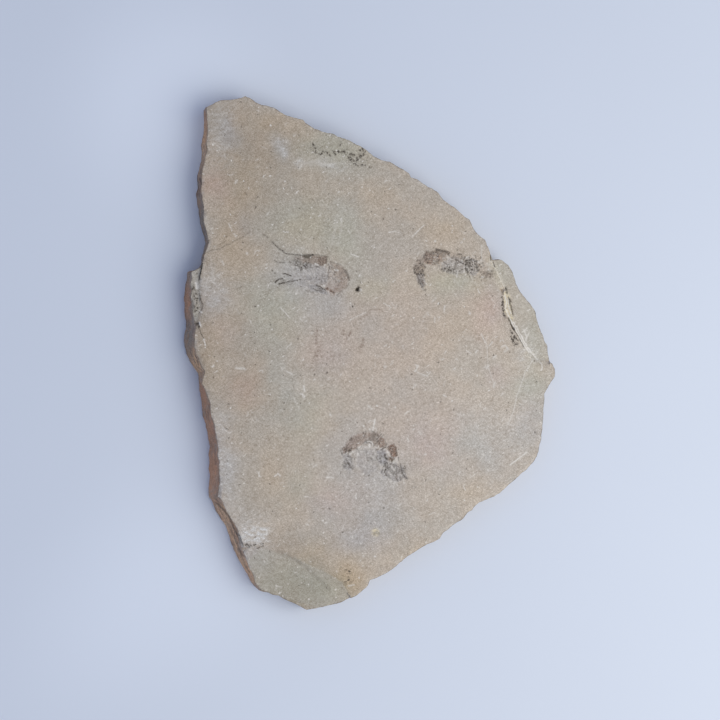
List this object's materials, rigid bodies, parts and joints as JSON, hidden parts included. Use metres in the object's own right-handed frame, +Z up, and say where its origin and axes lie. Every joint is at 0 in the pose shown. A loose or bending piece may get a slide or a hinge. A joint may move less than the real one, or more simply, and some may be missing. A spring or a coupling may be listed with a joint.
{
  "type": "fossil shrimp slab",
  "caption": "Broken plate of beige-grey limestone carrying small curled fossil shrimps in low relief, with ledges, pits and an eroded vein; it lies flat.",
  "frame": {"origin": "middle of the underside, where the plate rests", "axes": "+Z up out of the fossil face, +Y along the longest side towards the narrow upper end, +X towards the side with the pale ledge"},
  "size_m": [0.132, 0.1792, 0.0107],
  "materials": {
    "limestone": "fine matt sedimentary stone, beige-grey, speckled, brown on the weathered broken edge",
    "fossil_film": "thin brown and grey shell film, matt, patchy"
  },
  "bodies": {
    "root": {"limestone_slab": "limestone", "shrimp_upper_left": "fossil_film", "shrimp_upper_right": "fossil_film", "shrimp_lower": "fossil_film"}
  },
  "joints": []
}
